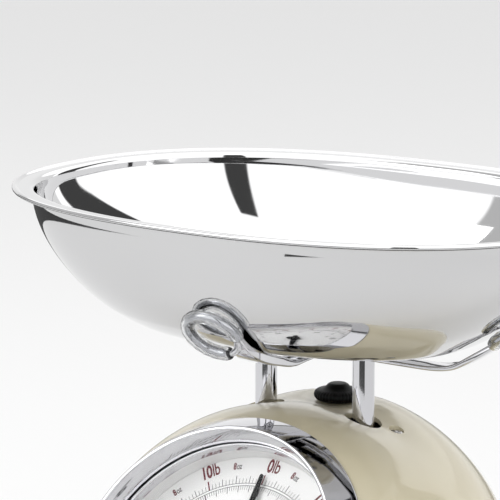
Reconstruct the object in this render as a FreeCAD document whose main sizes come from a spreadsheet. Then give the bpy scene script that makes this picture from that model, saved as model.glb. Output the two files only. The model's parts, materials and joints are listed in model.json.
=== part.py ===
"""Mechanical kitchen scale: a ball-shaped body with a tilted dial and a lift-off oval bowl.

Millimetres. +Z is up, the dial faces -Y, and the origin is on the floor midway between the posts,
under the centre of the ball.
"""
import FreeCAD, Part
import math
import os
import re

Vector = FreeCAD.Vector
Rotation = FreeCAD.Rotation
Placement = FreeCAD.Placement

# ---------------------------------------------------------------- driving dimensions
SIZES = [
    # ball-shaped body shell
    ("ball_radius", 101.0), ("ball_height", 86.0), ("shell_wall", 2.2), ("shell_edge", 7.0),
    ("crown_height", 181.0),
    # dial: tilt from upright, distance in front of the ball's centre, drop below it
    ("dial_tilt", 37.2), ("dial_forward", 73.3), ("dial_drop", 25.8),
    ("dial_radius", 65.0), ("dial_thick", 1.2),
    # chrome bezel, measured out from the dial face
    ("bezel_radius", 79.2), ("bezel_seat", 12.0), ("bezel_crest", 26.0),
    ("bezel_crest_radius", 68.5), ("bezel_bore", 66.8), ("bezel_lip", 1.0), ("skirt_wall", 4.6),
    ("lens_seat", 12.4), ("lens_thick", 2.0), ("surround_inner", 62.0), ("surround_front", 65.2),
    # instrument pan behind the dial, and the movement on it
    ("pan_floor", 2.0), ("plate_thick", 1.5), ("movement_depth", 34.5), ("movement_width", 34.0),
    ("movement_length", 46.0), ("pillar_radius", 2.2), ("arbor_radius", 1.5), ("arbor_front", 4.4),
    ("pinion_radius", 2.1), ("pinion_teeth", 12), ("pinion_depth", 30.0), ("pinion_width", 5.0),
    ("mesh_gap", 0.1), ("rack_back", 3.4), ("rack_low", 25.0), ("rack_high", 60.0),
    ("rack_pin_radius", 1.45),
    ("pointer_length", 55.0), ("pointer_width", 5.4), ("pointer_tip", 2.8), ("pointer_tail", 16.0),
    ("pointer_rise", 2.2), ("pointer_thick", 0.8), ("hub_radius", 6.5), ("hub_height", 3.0),
    # posts, their holes in the shell, and the travel at full load
    ("post_radius", 5.4), ("post_spread", 28.7), ("post_top", 208.3), ("post_foot", 60.0),
    ("post_hole", 9.0), ("dish_radius", 15.0), ("dish_level", 176.8), ("stroke", 11.0),
    ("run_fit", 0.06), ("fixed_fit", 0.02),
    # crossheads on the posts
    ("crosshead_upper", 135.0), ("crosshead_lower", 96.0), ("crosshead_thick", 4.0),
    ("crosshead_half", 36.0), ("crosshead_depth", 8.0), ("tongue_inner", 7.5), ("tongue_thick", 3.0),
    # chassis bridge inside the ball
    ("deck_height", 160.0), ("deck_thick", 3.0), ("deck_half", 47.0), ("chassis_front", 14.0),
    ("chassis_back", 30.0), ("leg_inner", 40.0), ("leg_foot", 14.0), ("guide_height", 74.0),
    ("bush_radius", 7.5), ("bush_flange", 9.0), ("bush_rim", 2.5),
    # spring, its hanger and the zero setting screw
    ("spring_back", 20.5), ("spring_radius", 6.5), ("spring_wire", 0.9), ("spring_turns", 12),
    ("hanger_height", 150.0), ("hanger_thick", 4.0), ("zero_radius", 2.0), ("zero_collar", 4.0),
    ("knob_radius", 11.9), ("knob_lift", 0.4), ("knob_flange", 3.2), ("knob_height", 6.3),
    ("knob_neck_radius", 7.0), ("knob_top_radius", 3.9), ("knob_flutes", 24),
    # screws that fix the shell to the chassis, and the base
    ("shell_screw_side", 43.0), ("shell_screw_back", 7.5), ("screw_head", 3.4), ("screw_shank", 1.5),
    ("shell_boss", 4.2), ("base_thick", 3.0), ("foot_height", 4.0), ("foot_radius", 8.0),
    ("foot_ring", 48.0), ("foot_peg", 2.4), ("base_screw_side", 34.0), ("base_screw_y", 8.0),
    # cradle under the bowl
    ("cradle_plate_thick", 2.0), ("cradle_plate_half", 40.0), ("bar_width", 12.0), ("bar_thick", 2.0),
    ("front_bar_turn", 5.0), ("loop_height", 236.0), ("loop_radius", 13.0), ("loop_wire", 1.7),
    ("sleeve_wall", 1.7), ("sleeve_fit", 0.05), ("sleeve_turn", 290.0), ("bowl_gap", 0.8),
    ("side_bar_run", 78.0), ("front_bar_run", 30.0),
    # oval bowl
    ("rim_height", 285.6), ("rim_half_length", 155.0), ("rim_half_width", 114.3), ("rim_power", 2.31),
    ("rim_flange", 9.2), ("rim_bead", 2.2), ("rim_drop", 1.5), ("bowl_depth", 66.2),
    ("bowl_end_inset", 63.0), ("bowl_side_inset", 58.0), ("end_power", 0.98), ("side_power", 2.4),
    ("bowl_wall", 1.2),
]
VALUE = dict(SIZES)

doc = FreeCAD.newDocument("kitchen_scale")
sheet = doc.addObject("Spreadsheet::Sheet", "sizes")
for row, (alias, value) in enumerate(SIZES, start=1):
    sheet.set("A%d" % row, alias)
    sheet.set("B%d" % row, str(value))
    sheet.setAlias("B%d" % row, alias)
doc.recompute()

NODES = []


def size(name):
    """Read one size from the sheet."""
    return float(sheet.get(name))


def bound(text):
    """Write a formula of size names as an expression on the sheet's cells."""
    return re.sub(r"[a-z_]+", lambda word: "sizes." + word.group() if word.group() in VALUE
                  else word.group(), text)


def bind(item, **formulas):
    for name, text in formulas.items():
        item.setExpression(name, bound(text))
    return item


def at(item, x="0", y="0", z="0"):
    """Place an object by three formulas."""
    for axis, text in zip("xyz", (x, y, z)):
        item.setExpression("Placement.Base." + axis, bound(text))
    return item


def cylinder(radius, height, x="0", y="0", z="0"):
    return at(bind(doc.addObject("Part::Cylinder", "cylinder"), Radius=radius, Height=height), x, y, z)


def cone(lower, upper, height, x="0", y="0", z="0"):
    return at(bind(doc.addObject("Part::Cone", "cone"), Radius1=lower, Radius2=upper, Height=height),
              x, y, z)


def block(length, width, height, x="0", y="0", z="0"):
    """A box whose x and y are its centre and whose z is its underside."""
    item = bind(doc.addObject("Part::Box", "block"), Length=length, Width=width, Height=height)
    return at(item, "%s - (%s) / 2" % (x, length), "%s - (%s) / 2" % (y, width), z)


def fuse(*pieces):
    item = doc.addObject("Part::MultiFuse", "fuse")
    item.Shapes = list(pieces)
    return item


def cut(base, *tools):
    item = doc.addObject("Part::Cut", "cut")
    item.Base = base
    item.Tool = tools[0] if len(tools) == 1 else fuse(*tools)
    return item


def node(name, item):
    """Give a finished sub-part its name."""
    item.Label = name
    NODES.append(item)
    return item


def on_dial(item):
    """Turn a piece made along +Z so that +Z runs out of the dial, from the middle of its face."""
    if item.TypeId == "Part::Cylinder":
        item = fuse(item, item)
    item.Placement = Placement(Vector(0, 0, 0), Rotation(Vector(1, 0, 0), 90 - size("dial_tilt")))
    item.setExpression("Placement.Rotation.Angle", bound("(90 - dial_tilt) * 1 deg"))
    forward = "(dial_forward * cos(dial_tilt * 1 deg) + dial_drop * sin(dial_tilt * 1 deg))"
    rise = "(dial_forward * sin(dial_tilt * 1 deg) - dial_drop * cos(dial_tilt * 1 deg))"
    return at(item, "0", "-" + forward, "ball_height + " + rise)


def shaped(shape):
    """A sub-part whose shape is worked out here from the sheet's sizes."""
    item = doc.addObject("Part::Feature", "shape")
    item.Shape = Part.makeCompound([shape])
    return item


def polar(radius, turn):
    return radius * math.cos(math.radians(turn)), radius * math.sin(math.radians(turn))


# ---------------------------------------------------------------- body shell
def hull(ball, front):
    """Half a ball, blended forward into a circle of radius front at the bezel."""
    reach = size("dial_forward") + size("bezel_seat")
    drop = size("dial_drop")
    half_ball = Part.makeSphere(ball, Vector(0, 0, 0), Vector(0, 0, -1), 0, 90, 360)
    top_step = front - drop - math.sqrt(ball ** 2 - reach ** 2)
    low_step = front + drop - ball
    wires = []
    steps = 8
    for step in range(steps + 1):
        along = reach * step / steps
        share = (step / steps) ** 2
        top = math.sqrt(ball ** 2 - along ** 2) + top_step * share
        low = -ball - low_step * share
        ring = Part.makeCircle((top - low) / 2, Vector(0, (top + low) / 2, along))
        wires.append(Part.Wire([ring]))
    return half_ball.fuse(Part.makeLoft(wires, True, False))


def body_shell():
    turn = Rotation(Vector(1, 0, 0), 90 - size("dial_tilt"))
    place = Placement(Vector(0, 0, size("ball_height")), turn)
    wall = size("shell_wall")
    ball = size("ball_radius")
    crown = size("crown_height")
    outer = hull(ball, size("bezel_radius"))
    inner = hull(ball - wall, size("bezel_radius") - wall)
    outer.Placement = place
    inner.Placement = place
    outer = outer.cut(Part.makeBox(400, 400, 200, Vector(-200, -200, crown)))
    inner = inner.cut(Part.makeBox(400, 400, 200, Vector(-200, -200, crown - wall)))
    shell = outer.cut(inner)
    hole_level = size("dish_level")
    for side in (-1, 1):
        x = side * size("post_spread")
        seat = Part.makeCylinder(size("dish_radius") + wall, 40, Vector(x, 0, hole_level - wall))
        shell = shell.fuse(seat.common(outer))
        dish = Part.makeCone(size("post_hole"), 2 * size("dish_radius") - size("post_hole"),
                             2 * (crown - hole_level), Vector(x, 0, hole_level))
        shell = shell.cut(dish)
        shell = shell.cut(Part.makeCylinder(size("post_hole"), 60, Vector(x, 0, hole_level - 20)))
        screw_x = side * size("shell_screw_side")
        back = size("shell_screw_back")
        deck = size("deck_height") + size("deck_thick")
        boss = Part.makeCylinder(size("shell_boss"), 40, Vector(screw_x, back, deck))
        shell = shell.fuse(boss.common(outer))
        head_level = size("ball_height") + math.sqrt(ball ** 2 - screw_x ** 2 - back ** 2) - 3.0
        shell = shell.cut(Part.makeCylinder(size("screw_head") + 0.1, 20, Vector(screw_x, back, head_level)))
        shell = shell.cut(Part.makeCylinder(size("screw_shank") + 0.1, 60, Vector(screw_x, back, deck - 20)))
    collar = size("zero_collar") + 1.0
    shell = shell.cut(Part.makeCylinder(collar, 40, Vector(0, size("spring_back"), crown - 20)))
    below = Part.makeBox(400, 400, 200, Vector(-200, -200, size("shell_edge") - 200))
    return shell.cut(below)


node("body_shell", shaped(body_shell()))

# ---------------------------------------------------------------- bezel, lens, dial
bezel = cut(
    fuse(cone("bezel_radius", "bezel_crest_radius + 1", "bezel_crest - bezel_seat", z="bezel_seat"),
         cylinder("bezel_bore + skirt_wall", "bezel_seat - 3", z="3")),
    cylinder("bezel_bore", "lens_seat + lens_thick + 0.2 - 2", z="2"),
    cylinder("bezel_bore - bezel_lip", "bezel_crest", z="bezel_seat"))
node("bezel_ring", on_dial(bezel))
surround = cut(cylinder("bezel_bore - 0.2", "lens_seat", z="0"),
               cone("surround_inner", "surround_front", "lens_seat + 0.02", z="-0.01"))
node("dial_surround", on_dial(surround))
node("lens", on_dial(cylinder("bezel_bore - 0.1", "lens_thick", z="lens_seat")))
dial = cut(cylinder("dial_radius", "dial_thick", z="-dial_thick"),
           cylinder("arbor_radius + 1", "dial_thick + 2", z="-dial_thick - 1"),
           *[cylinder("1", "dial_thick + 2", x="%d * dial_radius * 0.5" % side, z="-dial_thick - 1")
             for side in (-1, 1)])
node("dial_plate", on_dial(dial))
dial_screws = fuse(*[piece for side in (-1, 1) for piece in (
    cylinder("1.8", "0.9", x="%d * dial_radius * 0.5" % side),
    cylinder("0.95", "dial_thick + pan_floor", x="%d * dial_radius * 0.5" % side,
             z="-dial_thick - pan_floor"))])
node("dial_screws", on_dial(dial_screws))

# ---------------------------------------------------------------- instrument pan and movement
PILLARS = [(-1, -1), (-1, 1), (1, -1), (1, 1)]
pillar_x = "%d * (movement_width / 2 - pillar_radius - 1)"
pillar_y = "%d * (movement_length / 2 - pillar_radius - 1)"
pan = cut(
    fuse(cylinder("bezel_bore + skirt_wall", "pan_floor", z="-dial_thick - pan_floor"),
         cut(cylinder("bezel_bore + skirt_wall", "dial_thick + 3", z="-dial_thick"),
             cylinder("bezel_bore", "dial_thick + 4", z="-dial_thick"))),
    cylinder("arbor_radius + run_fit", "20", z="-10"),
    *[cylinder("1", "20", x="%d * dial_radius * 0.5" % side, z="-10") for side in (-1, 1)])
node("instrument_pan", on_dial(pan))
pan_screws = []
PAN_TURNS = (45, 135, 225, 315)
for turn in PAN_TURNS:
    across = "(bezel_bore + skirt_wall / 2) * cos(%d deg)" % turn
    along = "(bezel_bore + skirt_wall / 2) * sin(%d deg)" % turn
    pan_screws.append(cylinder("2", "1.6", across, along, "-dial_thick - pan_floor - 1.6"))
node("pan_screws", on_dial(fuse(*pan_screws)))
pillars = [cylinder("pillar_radius", "movement_depth - dial_thick - pan_floor",
                    pillar_x % across, pillar_y % along, "-movement_depth") for across, along in PILLARS]
node("movement_pillars", on_dial(fuse(*pillars)))
bearing_plate = cut(
    block("movement_width", "movement_length", "plate_thick", z="-movement_depth - plate_thick"),
    cylinder("arbor_radius + run_fit", "plate_thick + 2", z="-movement_depth - plate_thick - 1"))
node("rear_bearing_plate", on_dial(bearing_plate))
plate_screws = [cylinder("2.0", "1.4", pillar_x % across, pillar_y % along,
                         "-movement_depth - plate_thick - 1.4") for across, along in PILLARS]
node("plate_screws", on_dial(fuse(*plate_screws)))
guide_x = "pinion_radius + mesh_gap + 0.4 + rack_back + 0.15"
rack_guide = fuse(
    block("2", "18", "9", x=guide_x + " + 1", z="-movement_depth"),
    block("rack_back + 2", "18", "1.2", x=guide_x + " - rack_back / 2 + 1", z="-movement_depth"))
node("rack_guide", on_dial(rack_guide))


def toothed_pinion():
    """A fine pinion with straight-sided teeth, along +Z."""
    teeth = int(size("pinion_teeth"))
    crest = size("pinion_radius")
    root = crest - 0.5
    points = []
    for tooth in range(teeth):
        pitch = 360.0 / teeth
        for share, radius in ((0.0, root), (0.25, root), (0.4, crest), (0.85, crest)):
            x, y = polar(radius, (tooth + share) * pitch)
            points.append(Vector(x, y, 0))
    points.append(points[0])
    wheel = Part.Face(Part.makePolygon(points)).extrude(Vector(0, 0, size("pinion_width")))
    bore = Part.makeCylinder(size("arbor_radius") - 0.4, size("pinion_width"))
    return wheel.cut(bore)


pinion = shaped(toothed_pinion().translate(
    Vector(0, 0, -size("pinion_depth") - size("pinion_width") / 2)))
node("pinion", on_dial(pinion))
arbor = fuse(
    cylinder("arbor_radius", "arbor_front + pinion_depth - pinion_width / 2",
             z="-pinion_depth + pinion_width / 2"),
    cylinder("arbor_radius - 0.4", "pinion_width", z="-pinion_depth - pinion_width / 2"),
    cylinder("arbor_radius", "movement_depth + plate_thick + 1 - pinion_depth - pinion_width / 2",
             z="-movement_depth - plate_thick - 1"))
node("pointer_arbor", on_dial(arbor))


def toothed_rack():
    """The rack bar, along +Y, with its teeth facing the pinion."""
    face = size("pinion_radius") + size("mesh_gap")
    pitch = 2 * math.pi * size("pinion_radius") / size("pinion_teeth")
    back = face + 0.4 + size("rack_back")
    low, high = -size("rack_low"), size("rack_high")
    toothed_high = 20.0
    points = [Vector(back, low, 0), Vector(face + 0.4, low, 0)]
    y = low + 1
    while y < toothed_high:
        for share, x in ((0.0, face + 0.4), (0.2, face), (0.5, face), (0.7, face + 0.4)):
            points.append(Vector(x, y + share * pitch, 0))
        y += pitch
    points += [Vector(face + 0.4, high, 0), Vector(back, high, 0), points[0]]
    return Part.Face(Part.makePolygon(points)).extrude(Vector(0, 0, size("pinion_width")))


rack = shaped(toothed_rack().translate(Vector(0, 0, -size("pinion_depth") - size("pinion_width") / 2)))
node("rack", on_dial(rack))

# pointer, made pointing along +Y at the zero mark


def pointer_blade():
    half, tip = size("pointer_width") / 2, size("pointer_tip") / 2
    length, tail = size("pointer_length"), size("pointer_tail")
    start = Vector(-half, -tail, 0)
    edges = [
        Part.makeLine(start, Vector(-tip, length - tip, 0)),
        Part.Arc(Vector(-tip, length - tip, 0), Vector(0, length, 0),
                 Vector(tip, length - tip, 0)).toShape(),
        Part.makeLine(Vector(tip, length - tip, 0), Vector(half, -tail, 0)),
        Part.Arc(Vector(half, -tail, 0), Vector(0, -tail - half, 0), start).toShape()]
    blade = Part.Face(Part.Wire(edges)).extrude(Vector(0, 0, size("pointer_thick")))
    blade.translate(Vector(0, 0, size("pointer_rise")))
    return blade.cut(Part.makeCylinder(size("arbor_radius"), 20, Vector(0, 0, -5)))


node("pointer", on_dial(shaped(pointer_blade())))
hub = cut(cylinder("hub_radius", "hub_height", z="pointer_rise + pointer_thick"),
          cylinder("arbor_radius", "arbor_front", z="0"))
node("pointer_hub", on_dial(hub))

# ---------------------------------------------------------------- chassis
leg = "leg_inner + deck_thick / 2"
depth = "chassis_front + chassis_back"
middle = "(chassis_back - chassis_front) / 2"
hole_pairs = [cylinder("bush_radius", "200", x="%d * post_spread" % side, z="20") for side in (-1, 1)]
shell_holes = [cylinder("screw_shank", "20", "%d * shell_screw_side" % side, "shell_screw_back",
                        "deck_height - 5") for side in (-1, 1)]
legs = []
for side in (-1, 1):
    legs.append(block("deck_thick", depth, "deck_height - shell_edge", "%d * (%s)" % (side, leg),
                      middle, "shell_edge"))
    legs.append(block("leg_foot", depth, "deck_thick", "%d * (leg_inner - leg_foot / 2)" % side,
                      middle, "shell_edge"))
base_holes = [cylinder("screw_shank", "12", "%d * base_screw_side" % side, "%d * base_screw_y" % end,
                       "shell_edge - 4") for side in (-1, 1) for end in (-1, 1)]
chassis = cut(
    fuse(block("2 * deck_half", depth, "deck_thick", y=middle, z="deck_height"),
         block("2 * leg_inner", "2 * chassis_front", "deck_thick", z="guide_height"), *legs),
    *hole_pairs, *shell_holes, *base_holes,
    cylinder("zero_radius + run_fit", "20", y="spring_back", z="deck_height - 5"))
node("chassis_frame", chassis)
for side, word in ((-1, "left"), (1, "right")):
    for level, place in (("deck_height", "upper"), ("guide_height", "lower")):
        x = "%d * post_spread" % side
        bush = cut(
            fuse(cylinder("bush_radius - fixed_fit", "deck_thick", x, z=level),
                 cylinder("bush_flange", "bush_rim", x, z=level + " + deck_thick")),
            cylinder("post_radius + run_fit", "20", x, z=level + " - 5"))
        node("%s_%s_bush" % (word, place), bush)


def shell_screw_group():
    """Two cross-recessed screws through the shell into the chassis."""
    group = []
    for side in (-1, 1):
        x, y = side * size("shell_screw_side"), size("shell_screw_back")
        ball = size("ball_radius")
        top = size("ball_height") + math.sqrt(ball ** 2 - x ** 2 - y ** 2) - 0.8
        foot = size("deck_height") - 2
        seat = top - 2.0
        head = Part.makeCylinder(size("screw_head"), 2.0, Vector(x, y, seat))
        shank = Part.makeCylinder(size("screw_shank") - 0.03, seat - foot, Vector(x, y, foot))
        screw = head.fuse(shank)
        for turn in (0, 90):
            slot = Part.makeBox(4.4, 0.9, 2, Vector(-2.2, -0.45, 0))
            slot.rotate(Vector(0, 0, 0), Vector(0, 0, 1), turn + 20)
            slot.translate(Vector(x, y, top - 1.2))
            screw = screw.cut(slot)
        group.append(screw)
    return Part.makeCompound(group)


node("shell_screws", shaped(shell_screw_group()))
base = cut(
    cylinder("(ball_radius ^ 2 - (ball_height - shell_edge) ^ 2) ^ 0.5 - 0.6", "base_thick",
             z="shell_edge - base_thick"),
    *[cylinder("screw_shank + 0.2", "20", "%d * base_screw_side" % side, "%d * base_screw_y" % end, "0")
      for side in (-1, 1) for end in (-1, 1)],
    *[cylinder("foot_peg + fixed_fit", "20", "foot_ring * cos(%d deg)" % turn,
               "foot_ring * sin(%d deg)" % turn, "0") for turn in PAN_TURNS])
node("base_plate", base)
base_screws = [fuse(
    cylinder("screw_head", "1.8", "%d * base_screw_side" % side, "%d * base_screw_y" % end,
             "shell_edge - base_thick - 1.8"),
    cylinder("screw_shank - 0.03", "base_thick + 5", "%d * base_screw_side" % side,
             "%d * base_screw_y" % end, "shell_edge - base_thick")) for side in (-1, 1) for end in (-1, 1)]
node("base_screws", fuse(*base_screws))
for turn, word in zip(PAN_TURNS, ("back_right", "back_left", "front_left", "front_right")):
    x, y = "foot_ring * cos(%d deg)" % turn, "foot_ring * sin(%d deg)" % turn
    foot = fuse(cone("foot_radius - 1", "foot_radius", "foot_height", x, y),
                cylinder("foot_peg", "base_thick", x, y, "foot_height"))
    node("%s_foot" % word, foot)

# ---------------------------------------------------------------- posts and crossheads
for side, word in ((-1, "left"), (1, "right")):
    node("%s_post" % word, cylinder("post_radius", "post_top - post_foot", "%d * post_spread" % side,
                                    z="post_foot"))
post_bores = [cylinder("post_radius + fixed_fit", "200", "%d * post_spread" % side, z="20")
              for side in (-1, 1)]
slot_top = "(crosshead_upper + crosshead_thick / 2)"
# where the rack's pin crosses the tongue, on the line of the rack
pin_y = ("(-(dial_forward - pinion_depth) * cos(dial_tilt * 1 deg) - dial_drop * sin(dial_tilt * 1 deg)"
         " + (crosshead_upper + crosshead_thick / 2 - ball_height"
         " - (dial_forward - pinion_depth) * sin(dial_tilt * 1 deg)"
         " + dial_drop * cos(dial_tilt * 1 deg)) * tan(dial_tilt * 1 deg))")
slot_length = "(stroke * tan(dial_tilt * 1 deg) + 2 * rack_pin_radius + 1.2)"
tongue_length = "(crosshead_depth - (%s) + %s)" % (pin_y, slot_length)
tongue_x = "tongue_inner + tongue_thick / 2"
upper = cut(
    fuse(block("2 * crosshead_half", "2 * crosshead_depth", "crosshead_thick", z="crosshead_upper"),
         block("tongue_thick", tongue_length, "3 * crosshead_thick", tongue_x,
               "crosshead_depth - %s / 2" % tongue_length, "crosshead_upper - crosshead_thick")),
    *post_bores,
    block("tongue_thick + 4", slot_length, "2 * rack_pin_radius + 2 * run_fit", tongue_x,
          "%s + rack_pin_radius + 0.6 - %s / 2" % (pin_y, slot_length),
          slot_top + " - rack_pin_radius - run_fit"))
node("upper_crosshead", upper)
pin = bind(doc.addObject("Part::Cylinder", "pin"), Radius="rack_pin_radius",
           Height="tongue_inner + tongue_thick + 1 - (pinion_radius + mesh_gap + 0.4 + rack_back)")
pin.Placement = Placement(Vector(0, 0, 0), Rotation(Vector(0, 1, 0), 90))
node("rack_pin", at(pin, "pinion_radius + mesh_gap + 0.4 + rack_back", pin_y, slot_top))
lower = cut(
    block("2 * crosshead_half", "crosshead_depth + spring_back + 8", "crosshead_thick",
          y="(spring_back + 8 - crosshead_depth) / 2", z="crosshead_lower"), *[
        cylinder("post_radius + fixed_fit", "200", "%d * post_spread" % side, z="20")
        for side in (-1, 1)])
node("lower_crosshead", lower)

# ---------------------------------------------------------------- spring, hanger, zero screw and knob


def spring_coil():
    low = size("crosshead_lower") + size("crosshead_thick")
    wire = size("spring_wire")
    length = size("hanger_height") - low - 2 * wire
    path = Part.makeHelix(length / size("spring_turns"), length, size("spring_radius"))
    section = Part.Wire([Part.makeCircle(wire, Vector(size("spring_radius"), 0, 0), Vector(0, 1, 0))])
    coil = Part.Wire(path).makePipeShell([section], True, True)
    coil.translate(Vector(0, size("spring_back"), low + wire))
    return coil


node("main_spring", shaped(spring_coil()))
hanger = cut(block("22", "18", "hanger_thick", y="spring_back", z="hanger_height"),
             cylinder("zero_radius + fixed_fit", "hanger_thick + 2", y="spring_back",
                      z="hanger_height - 1"))
node("spring_hanger", hanger)
deck_top = "(deck_height + deck_thick)"
node("zero_screw", fuse(
    cylinder("zero_radius", "crown_height + knob_lift + 4 - hanger_height - 1", y="spring_back", z="hanger_height + 1"),
    cylinder("zero_collar", "2", y="spring_back", z=deck_top)))


def zero_knob():
    """A fluted flange with a waisted, flat-topped grip above it."""
    seat, flange = size("crown_height") + size("knob_lift"), size("knob_flange")
    radius, height, top = size("knob_radius"), size("knob_height"), size("knob_top_radius")
    shape = Part.makeCone(radius - 1.6, radius, flange * 0.4)
    shape = shape.fuse(Part.makeCone(radius, radius - 1.0, flange * 0.6, Vector(0, 0, flange * 0.4)))
    shape = shape.fuse(Part.makeCone(size("knob_neck_radius"), top, height - flange, Vector(0, 0, flange)))
    flutes = int(size("knob_flutes"))
    for flute in range(flutes):
        x, y = polar(radius + 0.5, 360.0 * flute / flutes)
        shape = shape.cut(Part.makeCylinder(0.9, flange, Vector(x, y, 0)))
    bore = Part.makeCylinder(size("zero_radius") + size("fixed_fit"), 4)
    shape = shape.cut(bore)
    shape.translate(Vector(0, size("spring_back"), seat))
    return shape


node("zero_knob", shaped(zero_knob()))


# ---------------------------------------------------------------- bowl
def oval(half_length, half_width, level, power):
    """A closed curve, between an ellipse and a rounded rectangle."""
    points = []
    count = 48
    for step in range(count):
        turn = 2 * math.pi * step / count
        reach = [math.copysign(abs(part) ** (2 / power), part) for part in (math.cos(turn), math.sin(turn))]
        points.append(Vector(half_length * reach[0], half_width * reach[1], level))
    curve = Part.BSplineCurve()
    curve.interpolate(points, PeriodicFlag=True)
    return Part.Wire([curve.toShape()])


def bowl_section(share):
    """Half length, half width and depth of the bowl's outside, share 0 at the flange, 1 at the base."""
    turn = share * math.pi / 2
    end = size("bowl_end_inset") * (1 - math.cos(turn) ** (2 / size("end_power")))
    side = size("bowl_side_inset") * (1 - math.cos(turn) ** (2 / size("side_power")))
    half_length = size("rim_half_length") - size("rim_flange") - end
    half_width = size("rim_half_width") - size("rim_flange") - side
    return half_length, half_width, size("rim_drop") + size("bowl_depth") * math.sin(turn)


def bowl_body(wall, rise):
    """The bowl's round solid, shrunk by the wall and lifted by rise."""
    power = size("rim_power")
    wires = []
    for share in (0.0, 0.2, 0.4, 0.58, 0.74, 0.88, 1.0):
        half_length, half_width, depth = bowl_section(share)
        level = size("rim_height") - depth + rise
        wires.append(oval(half_length - wall, half_width - wall, level, power))
    return Part.makeLoft(wires, True, False)


def oval_plate(inset, low, high):
    power = size("rim_power")
    edge = oval(size("rim_half_length") - inset, size("rim_half_width") - inset, low, power)
    return Part.Face(edge).extrude(Vector(0, 0, high - low))


def bowl():
    wall, flange = size("bowl_wall"), size("rim_flange")
    top = size("rim_height") - size("rim_drop")
    bead = size("rim_bead")
    shape = bowl_body(0, 0)
    shape = shape.fuse(oval_plate(0.5, top, top + wall))
    rolled = oval_plate(0, size("rim_height") - bead, size("rim_height"))
    rolled = rolled.cut(oval_plate(bead, size("rim_height") - bead - 1, size("rim_height") + 1))
    shape = shape.fuse(rolled)
    shape = shape.cut(bowl_body(wall, wall))
    return shape.cut(oval_plate(flange + wall, top - 0.01, top + wall + 5))


node("bowl", shaped(bowl()))


# ---------------------------------------------------------------- cradle
def support(axis):
    """Where a loop meets the bowl: distance out, and the wall's lean there, in degrees from flat."""
    low, high = 0.0, 1.0
    target = size("rim_height") - size("loop_height")
    for _ in range(40):
        half = (low + high) / 2
        if bowl_section(half)[2] < target:
            low = half
        else:
            high = half
    near, far = bowl_section(low - 0.02), bowl_section(low + 0.02)
    lean = math.degrees(math.atan2(far[2] - near[2], near[axis] - far[axis]))
    return bowl_section(low)[axis], lean


def arm_frame(axis):
    """Centre line of one arm in its own upright plane: (out, up) points, and the loop's centre."""
    out, lean = support(axis)
    off = size("loop_wire") + size("sleeve_fit") + size("sleeve_wall") + size("bowl_gap")
    normal = (math.sin(math.radians(lean)), -math.cos(math.radians(lean)))
    centre = (out + off * normal[0], size("loop_height") + off * normal[1])
    along = (math.cos(math.radians(lean)), math.sin(math.radians(lean)))
    foot = (centre[0] - size("loop_radius") * along[0], centre[1] - size("loop_radius") * along[1])
    return centre, along, foot


def cradle_bar(axis, level, run):
    """A flat bar under the bowl, rising to a round loop at each end, made along +X."""
    centre, along, foot = arm_frame(axis)
    thick = size("bar_thick")
    width = size("bar_width")
    rise = foot[1] - (level + thick / 2)
    arm_up = math.atan2(rise, foot[0] - run)
    half = thick / 2
    lift = half * math.tan(arm_up / 2)
    normal = (-math.sin(arm_up) * half, math.cos(arm_up) * half)
    middle = level + half
    right_low = [(run + lift, middle - half), (foot[0] - normal[0], foot[1] - normal[1])]
    right_high = [(foot[0] + normal[0], foot[1] + normal[1]), (run - lift, middle + half)]
    outline = [(-x, z) for x, z in reversed(right_low)] + right_low + right_high
    outline += [(-x, z) for x, z in reversed(right_high)]
    points = [Vector(x, -width / 2, z) for x, z in outline]
    points.append(points[0])
    shape = Part.Face(Part.makePolygon(points)).extrude(Vector(0, width, 0))
    for side in (-1, 1):
        normal_out = Vector(side * -along[1], 0, along[0])
        ring = Part.makeTorus(size("loop_radius"), size("loop_wire"),
                              Vector(side * centre[0], 0, centre[1]), normal_out)
        shape = shape.fuse(ring)
    return shape


def sleeve(axis, side):
    """A clear sleeve over the outer part of a loop, open where the bar comes in."""
    centre, along, _ = arm_frame(axis)
    wire = size("loop_wire") + size("sleeve_fit")
    turn = size("sleeve_turn")
    outer = Part.makeTorus(size("loop_radius"), wire + size("sleeve_wall"), Vector(0, 0, 0),
                           Vector(0, 0, 1), 0, 360, turn)
    inner = Part.makeTorus(size("loop_radius"), wire, Vector(0, 0, 0), Vector(0, 0, 1), 0, 360, turn)
    tube = outer.cut(inner)
    tube.rotate(Vector(0, 0, 0), Vector(0, 0, 1), -turn / 2)
    lean = math.degrees(math.atan2(along[1], along[0]))
    tube.rotate(Vector(0, 0, 0), Vector(0, 1, 0), -lean)
    tube.translate(Vector(centre[0], 0, centre[1]))
    if side < 0:
        tube.rotate(Vector(0, 0, 0), Vector(0, 0, 1), 180)
    return tube


# the side bar lies on the posts, the plate on it, and the front bar crosses under it
plate_top = "post_top + bar_thick + cradle_plate_thick"
plate = block("2 * cradle_plate_half", "1.5 * bar_width", "cradle_plate_thick", z="post_top + bar_thick")
node("cradle_plate", plate)
side_bar = shaped(cradle_bar(0, size("post_top"), size("side_bar_run")))
node("side_cradle_bar", side_bar)
front_bar = shaped(cradle_bar(1, size("post_top") - size("bar_thick"), size("front_bar_run")))
front_turn = Rotation(Vector(0, 0, 1), 90 + size("front_bar_turn"))
front_bar.Placement = Placement(Vector(0, 0, 0), front_turn)
node("front_cradle_bar", front_bar)
for axis, side, word in ((0, -1, "left"), (0, 1, "right"), (1, -1, "front"), (1, 1, "rear")):
    piece = shaped(sleeve(axis, side))
    if axis == 1:
        piece.Placement = Placement(Vector(0, 0, 0), front_turn)
    node("%s_sleeve" % word, piece)
post_screws = [cylinder("4.2", "1.6", "%d * post_spread" % side, z=plate_top) for side in (-1, 1)]
node("post_screws", fuse(*post_screws))
rivets = [cylinder("2.4", "1.2", "%d * bar_width / 4" % side, z=plate_top) for side in (-1, 1)]
node("cradle_rivets", fuse(*rivets))

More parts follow.
